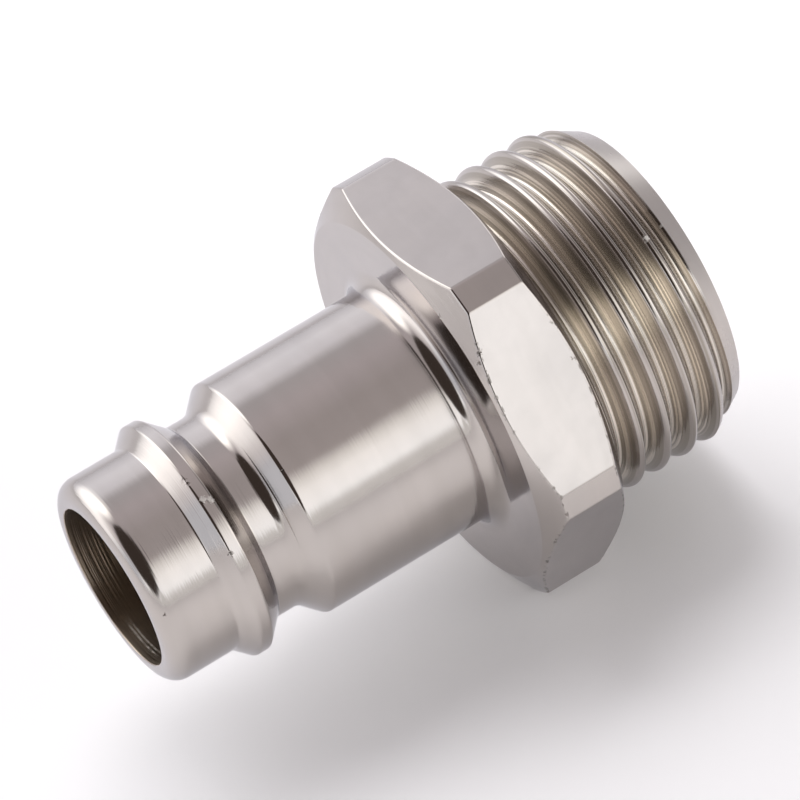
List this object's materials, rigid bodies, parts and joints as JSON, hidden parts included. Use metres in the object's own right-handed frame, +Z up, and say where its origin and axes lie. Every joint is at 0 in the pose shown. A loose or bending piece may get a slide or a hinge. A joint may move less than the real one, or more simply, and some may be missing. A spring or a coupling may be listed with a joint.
{
  "type": "quick coupling nipple",
  "caption": "Straight-through quick coupling nipple in nickel-plated brass: smooth nose, locking ridge, ball groove, spanner hexagon and male pipe thread.",
  "frame": {"origin": "on the surface that the part lies on, under the middle of its length; the part lies on one flat of its hexagon and its axis is 12 mm up", "axes": "+X along the axis from the nose towards the threaded end, +Z up, square to the flat that it lies on"},
  "size_m": [0.037, 0.0268, 0.024],
  "materials": {
    "nickel_plate": "bright nickel plating on turned brass, with fine turning marks"
  },
  "bodies": {
    "root": {"nipple": "nickel_plate"}
  },
  "joints": []
}
